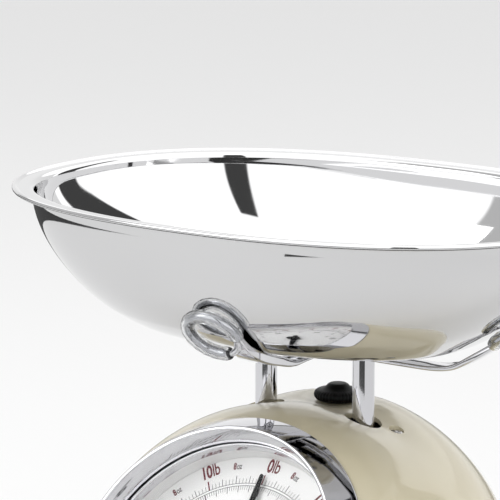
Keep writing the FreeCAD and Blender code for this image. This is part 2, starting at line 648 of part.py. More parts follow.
# ---------------------------------------------------------------- check and write
doc.recompute()
for item in doc.Objects:
    if "Invalid" in item.State or "Error" in item.State:
        raise RuntimeError("failed: %s (%s)" % (item.Label, item.Name))
os.makedirs("parts", exist_ok=True)
for item in NODES:
    shape = item.Shape
    if shape.isNull() or not shape.isValid():
        raise RuntimeError("bad shape: " + item.Label)
    shape.exportStep("parts/%s.step" % item.Label)
    box = shape.BoundBox
    print("%-20s solids %d volume %9.1f  x %7.1f %7.1f  y %7.1f %7.1f  z %7.1f %7.1f" % (
        item.Label, len(shape.Solids), shape.Volume, box.XMin, box.XMax, box.YMin, box.YMax,
        box.ZMin, box.ZMax))
print(len(NODES), "nodes")
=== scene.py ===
"""Looks of a mechanical kitchen scale: cream ball body, tilted dial, chrome cradle, oval mirror bowl.

Metres. +Z is up, the dial faces -Y, and the origin is on the floor midway between the posts.
"""
import bpy
import bmesh
import json
import math
from mathutils import Matrix, Vector


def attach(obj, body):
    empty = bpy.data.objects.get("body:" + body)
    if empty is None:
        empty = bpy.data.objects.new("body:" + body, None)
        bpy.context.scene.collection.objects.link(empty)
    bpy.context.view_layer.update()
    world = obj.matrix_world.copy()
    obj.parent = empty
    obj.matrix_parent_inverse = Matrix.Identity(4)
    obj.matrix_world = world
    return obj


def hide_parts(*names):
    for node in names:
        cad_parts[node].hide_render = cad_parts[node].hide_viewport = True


MM = 0.001
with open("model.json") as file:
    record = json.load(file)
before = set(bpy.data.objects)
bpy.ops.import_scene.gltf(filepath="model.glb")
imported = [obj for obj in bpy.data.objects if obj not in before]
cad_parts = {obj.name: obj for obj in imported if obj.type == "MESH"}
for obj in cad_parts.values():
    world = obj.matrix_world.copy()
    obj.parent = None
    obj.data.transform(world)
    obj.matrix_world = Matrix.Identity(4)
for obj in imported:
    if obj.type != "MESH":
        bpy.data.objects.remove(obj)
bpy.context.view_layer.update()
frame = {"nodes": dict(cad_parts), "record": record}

# ---------------------------------------------------------------- sizes shared with the frame, in mm
DIAL_TILT = math.radians(37.2)
BALL_HEIGHT, DIAL_FORWARD, DIAL_DROP = 86.0, 73.3, 25.8
KNOB_Y, KNOB_SEAT = 20.5, 179.4
SCREW_X, SCREW_Y = 43.0, 7.5
DIAL_NORMAL = Vector((0, -math.cos(DIAL_TILT), math.sin(DIAL_TILT)))
DIAL_UP = Vector((0, math.sin(DIAL_TILT), math.cos(DIAL_TILT)))
DIAL_MIDDLE = Vector((0, 0, BALL_HEIGHT)) + DIAL_FORWARD * DIAL_NORMAL - DIAL_DROP * DIAL_UP
DIAL_FRAME = Matrix.Translation(DIAL_MIDDLE * MM) @ Matrix(
    (Vector((1, 0, 0)), DIAL_UP, DIAL_NORMAL)).transposed().to_4x4()


# ---------------------------------------------------------------- materials
def material(name, colour, roughness, metallic=0.0, **sockets):
    """A Principled material with its constants on the sockets, and its nodes for adding detail."""
    made = bpy.data.materials.new(name)
    made.use_nodes = True
    shader = made.node_tree.nodes["Principled BSDF"]
    shader.inputs["Base Color"].default_value = (*colour, 1)
    shader.inputs["Roughness"].default_value = roughness
    shader.inputs["Metallic"].default_value = metallic
    for socket, value in sockets.items():
        shader.inputs[socket.replace("_", " ")].default_value = value
    return made


def noise(made, scale, detail=3.0):
    """Noise in the object's own metres; scale is repeats per metre."""
    tree = made.node_tree
    place = tree.nodes.new("ShaderNodeTexCoord")
    texture = tree.nodes.new("ShaderNodeTexNoise")
    texture.inputs["Scale"].default_value = scale
    texture.inputs["Detail"].default_value = detail
    tree.links.new(place.outputs["Object"], texture.inputs["Vector"])
    return texture.outputs["Fac"]


def add_bump(made, height, distance):
    """Raise the surface by a height pattern, up to a distance in metres."""
    tree = made.node_tree
    bump = tree.nodes.new("ShaderNodeBump")
    bump.inputs["Distance"].default_value = distance
    tree.links.new(height, bump.inputs["Height"])
    tree.links.new(bump.outputs["Normal"], tree.nodes["Principled BSDF"].inputs["Normal"])


def vary(made, socket, value, low, high):
    """Map noise onto a socket between two values."""
    tree = made.node_tree
    span = tree.nodes.new("ShaderNodeMapRange")
    span.inputs["From Min"].default_value = 0.3
    span.inputs["From Max"].default_value = 0.7
    span.inputs["To Min"].default_value = low
    span.inputs["To Max"].default_value = high
    tree.links.new(value, span.inputs["Value"])
    tree.links.new(span.outputs["Result"], tree.nodes["Principled BSDF"].inputs[socket])


def tint(made, value, first, second):
    """Mix the base colour between two by a pattern."""
    tree = made.node_tree
    mix = tree.nodes.new("ShaderNodeMix")
    mix.data_type = "RGBA"
    mix.inputs["A"].default_value = (*first, 1)
    mix.inputs["B"].default_value = (*second, 1)
    tree.links.new(value, mix.inputs["Factor"])
    tree.links.new(mix.outputs["Result"], tree.nodes["Principled BSDF"].inputs["Base Color"])


def enamel():
    """Cream enamel under a clear coat."""
    made = material("cream_enamel", (0.80, 0.725, 0.52), 0.32, Coat_Weight=0.7, Coat_Roughness=0.06)
    add_bump(made, noise(made, 260.0), 0.00002)
    tint(made, noise(made, 30.0), (0.792, 0.718, 0.512), (0.808, 0.733, 0.53))
    return made


def chrome(name, colour, roughness):
    """Polished metal with a faint unevenness in its gloss."""
    made = material(name, colour, roughness, 1.0)
    vary(made, "Roughness", noise(made, 90.0), roughness * 0.7, roughness * 1.5)
    return made


def see_through(name, colour, roughness, ior):
    """Clear glass or silicone that lets lamp light through to what is behind it."""
    made = material(name, colour, roughness, Transmission_Weight=1.0, IOR=ior)
    tree = made.node_tree
    light = tree.nodes.new("ShaderNodeLightPath")
    clear = tree.nodes.new("ShaderNodeBsdfTransparent")
    mix = tree.nodes.new("ShaderNodeMixShader")
    output = tree.nodes["Material Output"]
    tree.links.new(light.outputs["Is Shadow Ray"], mix.inputs[0])
    tree.links.new(tree.nodes["Principled BSDF"].outputs[0], mix.inputs[1])
    tree.links.new(clear.outputs[0], mix.inputs[2])
    tree.links.new(mix.outputs[0], output.inputs["Surface"])
    return made


def steel(name, colour, roughness):
    """Plain metal with a fine grain."""
    made = material(name, colour, roughness, 1.0)
    grain = noise(made, 900.0, 4.0)
    vary(made, "Roughness", grain, roughness * 0.8, roughness * 1.3)
    add_bump(made, grain, 0.00001)
    return made


def knob_plastic():
    """Deep black moulded plastic."""
    made = material("knob_plastic", (0.003, 0.003, 0.0035), 0.45, Specular_IOR_Level=0.15)
    add_bump(made, noise(made, 4000.0), 0.00002)
    return made


def matt(name, colour, roughness):
    """Plastic, rubber, paint or ink with a very fine grain."""
    made = material(name, colour, roughness)
    add_bump(made, noise(made, 1500.0), 0.00003)
    return made


LOOKS = {
    "cream": enamel(),
    "chrome": chrome("chrome_plate", (0.62, 0.62, 0.64), 0.035),
    "chrome_dark": chrome("reflector_plate", (0.66, 0.66, 0.68), 0.14),
    "clear_lens": see_through("lens_clear", (1, 1, 1), 0.0, 1.12),
    "dial_white": matt("dial_print_white", (0.78, 0.78, 0.775), 0.4),
    "zinc_steel": steel("zinc_plate", (0.62, 0.63, 0.65), 0.35),
    "screw_steel": steel("screw_nickel", (0.55, 0.54, 0.53), 0.28),
    "spring_steel": steel("spring_wire", (0.42, 0.42, 0.44), 0.32),
    "stainless": chrome("bowl_stainless", (0.62, 0.62, 0.625), 0.035),
    "brass": steel("turned_brass", (0.78, 0.6, 0.3), 0.25),
    "white_nylon": matt("nylon_white", (0.83, 0.83, 0.8), 0.5),
    "black_rubber": matt("rubber_black", (0.02, 0.02, 0.02), 0.75),
    "clear_silicone": see_through("silicone_clear", (0.8, 0.81, 0.82), 0.1, 1.41),
    "black_plastic": knob_plastic(),
}
# dark metal for the underside of the rolled edge: painted shade, standing in for the shadow and dark
# reflection under the bead
PAINTED_SHADE_LINE = chrome("bowl_painted_shade_line", (0.12, 0.12, 0.125), 0.3)
INK_RED = matt("ink_red", (0.13, 0.008, 0.015), 0.5)
INK_BLACK = matt("ink_black", (0.012, 0.012, 0.014), 0.5)
INK_GREY = matt("ink_grey", (0.07, 0.06, 0.065), 0.5)


def slot_of(node):
    """The material slot that the frame's record gives a node."""
    for item in frame["record"]["subparts"]:
        if item["node"] == node:
            return item["material_slot"]
    raise KeyError(node)


# ---------------------------------------------------------------- mesh helpers
def add_piece(name, verts, faces, look, body, transform=Matrix.Identity(4), smooth=True):
    """Make a mesh piece in millimetres and hang it on a body."""
    mesh = bpy.data.meshes.new(name)
    mesh.from_pydata([transform @ (Vector(v) * MM) for v in verts], [], faces)
    mesh.materials.append(look)
    made = bmesh.new()
    made.from_mesh(mesh)
    bmesh.ops.remove_doubles(made, verts=made.verts, dist=1e-7)
    bmesh.ops.recalc_face_normals(made, faces=made.faces)
    made.to_mesh(mesh)
    made.free()
    if smooth:
        mesh.shade_smooth()
    piece = bpy.data.objects.new(name, mesh)
    bpy.context.scene.collection.objects.link(piece)
    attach(piece, body)
    return piece


def arc(middle, radius, start, end, steps):
    """Points on an arc in a plane, angles in degrees."""
    return [(middle[0] + radius * math.cos(math.radians(start + (end - start) * step / steps)),
             middle[1] + radius * math.sin(math.radians(start + (end - start) * step / steps)))
            for step in range(steps + 1)]


def revolved(profile, count):
    """A closed (radius, height) outline turned about +Z."""
    verts = []
    for step in range(count):
        turn = 2 * math.pi * step / count
        verts += [(radius * math.sin(turn), radius * math.cos(turn), height) for radius, height in profile]
    size = len(profile)
    faces = []
    for step in range(count):
        after = (step + 1) % count
        for item in range(size):
            faces.append((step * size + item, step * size + (item + 1) % size,
                          after * size + (item + 1) % size, after * size + item))
    return verts, faces


def skin(start, rows, count):
    """Faces between rows of count points each, closed round every row."""
    return [(start + row * count + step, start + row * count + (step + 1) % count,
             start + (row + 1) * count + (step + 1) % count, start + (row + 1) * count + step)
            for row in range(rows - 1) for step in range(count)]


# ---------------------------------------------------------------- bowl
RIM_TOP, RIM_LENGTH, RIM_WIDTH, RIM_POWER = 285.6, 155.0, 114.3, 2.31
FLANGE, BOWL_DROP, BOWL_DEPTH, BOWL_WALL = 9.2, 1.5, 66.2, 1.2
END_INSET, SIDE_INSET, END_POWER, SIDE_POWER = 63.0, 58.0, 0.98, 2.4
CURVE_STEPS, FLOOR_STEPS, SMOOTH_ROUNDS, SMOOTH_FROM = 60, 20, 60, 36
# radii of the rolled edge and of the bend into the flange, and how far the flange lies below the rim
BEAD, LIP, SEAT_DROP, SEAT_CROWN = 1.15, 2.8, 0.9, 0.02
LIP_START, LIP_TUCK, FLANGE_ROWS, UNDER_INSET = 4.5, 0.4, (7.0, 6.8, 3.2, 3.0), 3.0
# share of the rim's size, lean and depth that mark the faces of the painted shade line under the rolled edge
SHADE_LINE_REACH, SHADE_LINE_LEAN, SHADE_LINE_DEPTH = 0.94, -0.35, 2.6
BOWL_SIDES, SMALLEST = 288, 0.02


def bowl_levels():
    """Rows of (half length, half width, height) of the bowl's outside, from the flange to the middle."""
    rows = []
    for step in range(CURVE_STEPS + 1):
        turn = step / CURVE_STEPS * math.pi / 2
        end = END_INSET * (1 - max(math.cos(turn), 0) ** (2 / END_POWER))
        side = SIDE_INSET * (1 - max(math.cos(turn), 0) ** (2 / SIDE_POWER))
        rows.append((RIM_LENGTH - FLANGE - end, RIM_WIDTH - FLANGE - side,
                     RIM_TOP - BOWL_DROP - BOWL_DEPTH * math.sin(turn)))
    length, width, floor = rows[-1]
    for step in range(1, FLOOR_STEPS + 1):
        share = 1 - step / FLOOR_STEPS
        rows.append((length * share, width * share, floor))
    for _ in range(SMOOTH_ROUNDS):
        smoothed = list(rows)
        for item in range(SMOOTH_FROM, len(rows) - 2):
            smoothed[item] = tuple((rows[item - 1][part] + 2 * rows[item][part] + rows[item + 1][part]) / 4
                                   for part in range(3))
        rows = smoothed
    return rows


def superellipse(length, width, height, count):
    """A ring between an ellipse and a rounded rectangle."""
    ring = []
    for step in range(count):
        turn = 2 * math.pi * step / count
        across, along = math.cos(turn), math.sin(turn)
        ring.append((length * math.copysign(abs(across) ** (2 / RIM_POWER), across),
                     width * math.copysign(abs(along) ** (2 / RIM_POWER), along), height))
    return ring


def paint_shade_line(piece):
    """Give the lower outer side of the rolled edge dark metal, a painted shade line for the shadow and dark
    reflection under the bead.
    """
    piece.data.materials.append(PAINTED_SHADE_LINE)
    for face in piece.data.polygons:
        middle = face.center / MM
        out = (abs(middle.x) / RIM_LENGTH) ** RIM_POWER + (abs(middle.y) / RIM_WIDTH) ** RIM_POWER
        # the low outer faces of the bead get the painted shade
        if out > SHADE_LINE_REACH and face.normal.z < SHADE_LINE_LEAN and middle.z > RIM_TOP - SHADE_LINE_DEPTH:
            face.material_index = 1


def make_bowl():
    """The oval bowl in one skin: inside, flange, rolled edge and outside."""
    levels = bowl_levels()
    rows = []
    # inside, from the middle up to the flange
    for length, width, height in reversed(levels):
        rows.append((length - BOWL_WALL if length > 2 * BOWL_WALL else length * 0.5,
                     width - BOWL_WALL if width > 2 * BOWL_WALL else width * 0.5, height + BOWL_WALL))
    rows = [row for row in rows if row[2] < RIM_TOP - LIP_START]
    seat = RIM_TOP - SEAT_DROP
    for out, up in arc((LIP, -LIP), LIP, 178, 96, 8):
        rows.append((RIM_LENGTH - FLANGE - BOWL_WALL + out - LIP_TUCK,
                     RIM_WIDTH - FLANGE - BOWL_WALL + out - LIP_TUCK, seat + up))
    rows += [(RIM_LENGTH - inset, RIM_WIDTH - inset, seat + SEAT_CROWN) for inset in FLANGE_ROWS]
    # rolled edge, round to the underside
    for out, up in arc((-BEAD, -BEAD), BEAD, 140, -160, 16):
        rows.append((RIM_LENGTH + out, RIM_WIDTH + out, RIM_TOP + up))
    under = seat - BOWL_WALL
    rows.append((RIM_LENGTH - UNDER_INSET, RIM_WIDTH - UNDER_INSET, under))
    bend = LIP + BOWL_WALL
    for out, up in arc((bend, -bend), bend, 100, 176, 8):
        rows.append((RIM_LENGTH - FLANGE + out, RIM_WIDTH - FLANGE + out, under + up))
    low = rows[-1][2]
    rows += [row for row in levels if row[2] < low - 0.5]
    count = BOWL_SIDES
    verts = []
    for length, width, height in rows:
        verts += superellipse(max(length, SMALLEST), max(width, SMALLEST), height, count)
    faces = skin(0, len(rows), count)
    faces.append(tuple(reversed(range(count))))
    faces.append(tuple(range((len(rows) - 1) * count, len(rows) * count)))
    piece = add_piece("oval_bowl", verts, faces, LOOKS["stainless"], "bowl")
    paint_shade_line(piece)
    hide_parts("bowl")


make_bowl()


# ---------------------------------------------------------------- bezel and reflector ring
# profiles are (radius, height above the dial's face); the ring is white below WELL_HEIGHT
RING_SIDES, WELL_HEIGHT = 288, 7.0


def make_bezel():
    """The wide chrome ring: outer cone, narrow crest and inner slope."""
    profile = [(71.2, 3.0), (71.2, 11.6), (78.4, 12.0)]
    profile += arc((78.2, 13.0), 1.0, -60, 38, 5)
    profile += [(73.6, 19.6)]
    profile += arc((68.4, 25.0), 1.0, 42, 90, 5)
    profile += arc((68.0, 25.0), 1.0, 90, 172, 6)
    profile += [(66.5, 21.0), (66.1, 17.5), (65.9, 14.5), (66.7, 14.5), (66.7, 3.0)]
    verts, faces = revolved(profile, RING_SIDES)
    piece = add_piece("chrome_bezel", verts, faces, LOOKS["chrome"], "root", DIAL_FRAME)
    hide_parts("bezel_ring")


def make_surround():
    """The ring between dial and lens, white in its lower part and reflecting above."""
    profile = [(64.3, 0.0), (64.4, 0.5), (64.8, 7.0), (64.8, 7.4), (65.0, 10.0), (65.2, 12.35),
               (66.5, 12.35), (66.5, 0.0)]
    verts, faces = revolved(profile, RING_SIDES)
    piece = add_piece("reflector_ring", verts, faces, LOOKS["chrome_dark"], "root", DIAL_FRAME)
    piece.data.materials.append(LOOKS["dial_white"])
    for face in piece.data.polygons:
        if (face.center / MM - DIAL_MIDDLE).dot(DIAL_NORMAL) < WELL_HEIGHT:
            face.material_index = 1
    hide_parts("dial_surround")


make_bezel()
make_surround()

# ---------------------------------------------------------------- body shell
BALL_RADIUS, SHELL_EDGE, SHELL_WALL = 101.0, 7.0, 2.2
BEZEL_RADIUS, BEZEL_SEAT = 79.2, 12.0
POST_SPREAD, POST_HOLE = 28.7, 9.0
ZERO_HOLE, SCREW_HOLE = 5.0, 3.6
# share by which the crown is lowered in front, and the distance behind the posts where that ends
FLATTEN, FLAT_BACK = 0.0644, 35.0
# (x, y, depth, reach, power) of each smooth hollow in the crown: one at each post, one under the knob
HOLLOWS = [(-POST_SPREAD, 0, 0.8, 12.5, 2), (POST_SPREAD, 0, 0.8, 12.5, 2), (0, KNOB_Y, 3.4, 16, 4)]


def hull_point(ring, turn, rings):
    """A point of the ball, which blends forward into the bezel's circle, around the dial's axis."""
    back = rings // 2
    if ring <= back:
        bend = ring / back * math.pi / 2
        along, radius, shift = -BALL_RADIUS * math.cos(bend), BALL_RADIUS * math.sin(bend), 0.0
    else:
        reach = DIAL_FORWARD + BEZEL_SEAT
        share = (ring - back) / (rings - back)
        along = reach * share
        top_step = BEZEL_RADIUS - DIAL_DROP - math.sqrt(BALL_RADIUS ** 2 - reach ** 2)
        low_step = BEZEL_RADIUS + DIAL_DROP - BALL_RADIUS
        top = math.sqrt(BALL_RADIUS ** 2 - along ** 2) + top_step * share ** 2
        low = -BALL_RADIUS - low_step * share ** 2
        radius, shift = (top - low) / 2, (top + low) / 2
    spot = Vector((0, 0, BALL_HEIGHT)) + along * DIAL_NORMAL
    return spot + Vector((radius * math.sin(turn), 0, 0)) + (shift + radius * math.cos(turn)) * DIAL_UP


def soften_crown(spot):
    """Flatten the front of the crown, less towards the bezel and the back, and sink the hollows."""
    x, y, z = spot
    rise = z - BALL_HEIGHT
    if rise > 0:
        forward = (spot - Vector((0, 0, BALL_HEIGHT))).dot(DIAL_NORMAL) / (DIAL_FORWARD + BEZEL_SEAT)
        near = min(max((forward - 0.62) / 0.36, 0), 1)
        behind = min(max(y / FLAT_BACK, 0), 1)
        fade = (1 - near * near * (3 - 2 * near)) * (1 - behind * behind * (3 - 2 * behind))
        z -= FLATTEN * (rise / BALL_RADIUS) ** 2 * rise * fade
    if z > 150:
        z -= sum(depth * math.exp(-(math.hypot(x - across, y - along) / reach) ** power)
                 for across, along, depth, reach, power in HOLLOWS)
    return Vector((x, y, z))


def crown_height(x, y):
    """Height of the flattened ball above a point near its top."""
    return soften_crown(Vector((x, y, BALL_HEIGHT + math.sqrt(BALL_RADIUS ** 2 - x * x - y * y)))).z


def drum(name, radius, low, high, x, y):
    """A plain cylinder used only to cut holes."""
    made = bmesh.new()
    bmesh.ops.create_cone(made, cap_ends=True, segments=64, radius1=radius * MM, radius2=radius * MM,
                          depth=(high - low) * MM,
                          matrix=Matrix.Translation(Vector((x, y, (low + high) / 2)) * MM))
    mesh = bpy.data.meshes.new(name)
    made.to_mesh(mesh)
    made.free()
    piece = bpy.data.objects.new(name, mesh)
    bpy.context.scene.collection.objects.link(piece)
    return piece


def make_shell():
    """The cream ball: a hollow skin cut open underneath, with holes for posts, screw and knob."""
    rings, count = 96, 224
    verts = [soften_crown(hull_point(ring, 2 * math.pi * step / count, rings))
             for ring in range(1, rings + 1) for step in range(count)]
    faces = skin(0, rings, count)
    faces.append(tuple(range(count)))
    piece = add_piece("ball_shell", verts, faces, LOOKS["cream"], "root")
    mesh = piece.data
    made = bmesh.new()
    made.from_mesh(mesh)
    everything = made.verts[:] + made.edges[:] + made.faces[:]
    bmesh.ops.bisect_plane(made, geom=everything, plane_co=(0, 0, SHELL_EDGE * MM), plane_no=(0, 0, 1),
                           clear_inner=True)
    made.to_mesh(mesh)
    made.free()
    wall = piece.modifiers.new("wall", "SOLIDIFY")
    wall.thickness = SHELL_WALL * MM
    wall.offset = -1
    cutters = [drum("cut_post", POST_HOLE, 150, 200, side * POST_SPREAD, 0) for side in (-1, 1)]
    cutters.append(drum("cut_zero", ZERO_HOLE, 150, 200, 0, KNOB_Y))
    cutters += [drum("cut_screw", SCREW_HOLE, 160, 200, side * SCREW_X, SCREW_Y) for side in (-1, 1)]
    for cutter in cutters:
        hole = piece.modifiers.new("hole", "BOOLEAN")
        hole.object = cutter
        hole.solver = "EXACT"
    bpy.context.view_layer.update()
    done = bpy.data.meshes.new_from_object(piece.evaluated_get(bpy.context.evaluated_depsgraph_get()))
    piece.modifiers.clear()
    piece.data = done
    for cutter in cutters:
        bpy.data.objects.remove(cutter)
    done.materials.clear()
    done.materials.append(LOOKS["cream"])
    done.shade_smooth()
    done.set_sharp_from_angle(angle=math.radians(40))
    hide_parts("body_shell")


make_shell()

# ---------------------------------------------------------------- cradle arms
BAR_WIDTH, BAR_THICK, POST_TOP = 12.0, 2.0, 208.3
LOOP_HEIGHT, LOOP_RADIUS, LOOP_WIRE = 236.0, 13.0, 1.7
SLEEVE_WALL, SLEEVE_FIT, SLEEVE_TURN, SLEEVE_RIB, SLEEVE_RIBS = 1.7, 0.05, 290, 0.05, 30
BOWL_GAP = 0.85
# corner radius of the straps, and the lengths over which they narrow at a loop and thicken as they rise
STRAP_EDGE, NARROW_LENGTH, NARROWING, END_THICK = 0.9, 18, 8.4, 2.6
RISE_BEFORE, RISE_LENGTH, PAST_FOOT = 12, 26, 2.5
FRONT_TURN = math.radians(5)


def wall_at(axis):
    """Half length or width of the bowl at the loop's height, and the wall's lean there."""
    rows = bowl_levels()
    for near, far in zip(rows, rows[2:]):
        if far[2] < LOOP_HEIGHT:
            break
    lean = math.atan2(near[2] - far[2], near[axis] - far[axis])
    return (near[axis] + far[axis]) / 2, lean


def loop_place(axis):
    """Centre of a loop, (out, up), and the lean it shares with the bowl's wall."""
    out, lean = wall_at(axis)
    off = LOOP_WIRE + SLEEVE_WALL + BOWL_GAP
    return (out + off * math.sin(lean), LOOP_HEIGHT - off * math.cos(lean)), lean


def smooth_path(points, rounds=4):
    """Chaikin corner cutting; the ends stay."""
    for _ in range(rounds):
        cut = [points[0]]
        for a, b in zip(points, points[1:]):
            cut.append(tuple(0.75 * p + 0.25 * q for p, q in zip(a, b)))
            cut.append(tuple(0.25 * p + 0.75 * q for p, q in zip(a, b)))
        cut.append(points[-1])
        points = cut
    return points


def strap_section(width, thick):
    """A flat strap's outline with rounded corners: (across, through) points."""
    edge = STRAP_EDGE
    side, high = width / 2 - edge, thick / 2 - edge
    return (arc((side, -high), edge, -90, 0, 4) + arc((side, high), edge, 0, 90, 4)
            + arc((-side, high), edge, 90, 180, 4) + arc((-side, -high), edge, 180, 270, 4))


def loop_point(place, side, around, about, radius):
    """A point on a tube along a loop: around runs round the loop and about round the tube, in radians."""
    (out, up), lean = place
    reach, off = LOOP_RADIUS + radius * math.cos(about), radius * math.sin(about)
    along, across = reach * math.cos(around), reach * math.sin(around)
    return (side * (out + along * math.cos(lean) + off * math.sin(lean)), across,
            up + along * math.sin(lean) - off * math.cos(lean))


def make_bar(name, node_name, axis, level, run, turn, deep, sweep):
    """A strap under the bowl that sweeps up at both ends into round wire loops, a share to one side."""
    centre, lean = loop_place(axis)
    foot = (centre[0] - LOOP_RADIUS * math.cos(lean), centre[1] - LOOP_RADIUS * math.sin(lean))
    past = (foot[0] + PAST_FOOT * math.cos(lean), foot[1] + PAST_FOOT * math.sin(lean))
    end = [sweep * loop + (1 - sweep) * straight for loop, straight in zip(centre, past)]
    off = LOOP_RADIUS * sweep
    half = [(0.0, 0.0, level), (run * 0.6, 0.0, level), (run, 0.0, level),
            (run + (foot[0] - run) * 0.5, off * 0.3, level + (foot[1] - level) * 0.42),
            (foot[0], off * 0.9, foot[1]), (end[0], off, end[1])]
    path = [(-out, -aside, up) for out, aside, up in reversed(half[1:])] + half
    path = smooth_path(path)
    verts, faces = [], []
    lengths = len(path)
    for place, (out, aside, up) in enumerate(path):
        before, after = path[max(place - 1, 0)], path[min(place + 1, lengths - 1)]
        slope = math.atan2(after[2] - before[2], after[0] - before[0])
        close = max(0.0, min(1.0, (abs(out) - end[0] + NARROW_LENGTH) / NARROW_LENGTH))
        width = BAR_WIDTH - NARROWING * close * close
        rising = max(0.0, min(1.0, (abs(out) - run + RISE_BEFORE) / RISE_LENGTH))
        thick = BAR_THICK + (deep - BAR_THICK) * rising - (deep - END_THICK) * close * close
        up += (thick - BAR_THICK) / 2 * rising
        for across, through in strap_section(width, thick):
            verts.append((out - math.sin(slope) * through, aside + across, up + math.cos(slope) * through))
    count = len(strap_section(BAR_WIDTH, BAR_THICK))
    faces += skin(0, lengths, count)
    faces.append(tuple(range(count)))
    faces.append(tuple(range((lengths - 1) * count, lengths * count)))
    for side in (-1, 1):
        start = len(verts)
        around, tube = 96, 20
        verts += [loop_point((centre, lean), side, 2 * math.pi * step / around,
                             2 * math.pi * item / tube, LOOP_WIRE)
                  for step in range(around) for item in range(tube)]
        faces += skin(start, around, tube)
        faces += [(start + (around - 1) * tube + item, start + (around - 1) * tube + (item + 1) % tube,
                   start + (item + 1) % tube, start + item) for item in range(tube)]
    piece = add_piece(name, verts, faces, LOOKS["chrome"], "carriage", Matrix.Rotation(turn, 4, "Z"))
    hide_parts(node_name)


def make_sleeve(name, axis, side, turn, shift):
    """A soft clear tube over most of a loop, slightly ribbed, its middle shifted round by some degrees."""
    place = loop_place(axis)
    verts = []
    around, tube = 160, 28
    spread, middle = math.radians(SLEEVE_TURN), math.radians(shift)
    angles = [spread * (step / around - 0.5) + middle for step in range(around + 1)]
    walls = []
    for step in range(around + 1):
        rib = SLEEVE_RIB * math.sin(step / around * SLEEVE_RIBS * math.pi)
        taper = min(1.0, min(step, around - step) / 5.0)
        walls.append(SLEEVE_WALL * (0.55 + 0.45 * math.sqrt(taper)) + rib * taper - 0.12)
    for surface in (walls, [SLEEVE_FIT] * (around + 1)):
        for angle, wall in zip(angles, surface):
            verts += [loop_point(place, side, angle, 2 * math.pi * item / tube, LOOP_WIRE + wall)
                      for item in range(tube)]
    inner = (around + 1) * tube
    faces = skin(0, around + 1, tube) + skin(inner, around + 1, tube)
    for end in (0, around):
        for item in range(tube):
            after = (item + 1) % tube
            faces.append((end * tube + item, end * tube + after,
                          inner + end * tube + after, inner + end * tube + item))
    piece = add_piece(name, verts, faces, LOOKS["clear_silicone"], "carriage", Matrix.Rotation(turn, 4, "Z"))
    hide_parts(name.replace("clear_", ""))


FRONT_WAY = math.radians(90) + FRONT_TURN
make_bar("side_strap", "side_cradle_bar", 0, POST_TOP + BAR_THICK / 2, 78.0, 0.0, 3.0, 0.0)
make_bar("front_strap", "front_cradle_bar", 1, POST_TOP - BAR_THICK / 2, 30.0, FRONT_WAY, 4.8, 1.0)
for sleeve_name, axis, side, turn, shift in (("clear_left_sleeve", 0, -1, 0.0, 0),
                                             ("clear_right_sleeve", 0, 1, 0.0, 0),
                                             ("clear_front_sleeve", 1, -1, FRONT_WAY, 55),
                                             ("clear_rear_sleeve", 1, 1, FRONT_WAY, -55)):
    make_sleeve(sleeve_name, axis, side, turn, shift)

# ---------------------------------------------------------------- knob, pointer and shell screws
def make_knob():
    """A black knob with a knurled flange and a waisted grip with a flat top."""
    profile = [(0.02, 0.0), (9.6, 0.0), (10.8, 0.5), (11.7, 1.7), (11.9, 2.8), (11.5, 4.0), (10.6, 4.8),
               (8.6, 5.3), (7.0, 5.9), (5.9, 6.7), (5.1, 7.6), (4.3, 8.1), (3.6, 8.28), (0.02, 8.28)]
    count, size = 240, len(profile)
    flutes, flute_depth, flute_from = 40, 0.5, 10.5
    verts, faces = [], []
    for step in range(count):
        turn = 2 * math.pi * step / count
        flute = flute_depth * max(0.0, math.cos(turn * flutes)) ** 2
        for radius, height in profile:
            reach = radius - (flute if flute_from < radius else 0)
            verts.append((reach * math.cos(turn), KNOB_Y + reach * math.sin(turn), KNOB_SEAT + height))
    for step in range(count):
        after = (step + 1) % count
        for item in range(size - 1):
            faces.append((step * size + item, after * size + item,
                          after * size + item + 1, step * size + item + 1))
    piece = add_piece("knurled_knob", verts, faces, LOOKS["black_plastic"], "zero_setting")
    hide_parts("zero_knob")


def make_pointer():
    """A slim black hand with a round tip, pointing at zero."""
    tip, reach, tail, back = 0.95, 54.0, 2.6, -14.0
    outline = arc((0, reach), tip, 180, 0, 9) + [(2.7, 8.0), (2.9, 0.0)]
    outline += arc((0, back), tail, 0, -180, 9) + [(-2.9, 0.0), (-2.7, 8.0)]
    low, high = 2.25, 2.95
    count = len(outline)
    verts = [(x, y, low) for x, y in outline] + [(x, y, high) for x, y in outline]
    faces = [tuple(range(count)), tuple(range(count, 2 * count))]
    faces += skin(0, 2, count)
    piece = add_piece("slim_pointer", verts, faces, LOOKS["black_plastic"], "pointer", DIAL_FRAME,
                      smooth=False)
    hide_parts("pointer")


def make_screws():
    """Two domed, cross-recessed screw heads sunk in the shell; rows are (radius, drop)."""
    cross_half, cross_reach, cross_depth, sunk = 0.42, 2.1, 1.1, 0.3
    verts, faces = [], []
    for side in (-1, 1):
        x, y = side * SCREW_X, SCREW_Y
        top = crown_height(x, y) - sunk
        start, around = len(verts), 72
        rows = [(0.0, 0.0), (0.5, 0.0), (1.0, 0.02), (1.5, 0.06), (1.9, 0.12), (2.3, 0.22), (2.8, 0.45),
                (3.2, 0.8), (3.35, 1.3), (3.35, 2.4)]
        for radius, drop in rows:
            for step in range(around):
                turn = 2 * math.pi * step / around
                px, py = radius * math.cos(turn), radius * math.sin(turn)
                in_cross = min(abs(px), abs(py)) < cross_half and radius < cross_reach
                slot = cross_depth if in_cross else 0.0
                verts.append((x + px, y + py, top - drop - slot))
        faces += skin(start, len(rows), around)
    piece = add_piece("screw_heads", verts, faces, LOOKS["screw_steel"], "root", smooth=False)
    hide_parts("shell_screws")


make_knob()
make_pointer()
make_screws()

# ---------------------------------------------------------------- dial print
POUNDS, KILOS = 11, 5
PRINT_LIFT = 0.06


def dial_point(radius, turn, height=PRINT_LIFT):
    """A point at a clockwise angle in degrees from the top of the dial."""
    return (radius * math.sin(math.radians(turn)), radius * math.cos(math.radians(turn)), height)


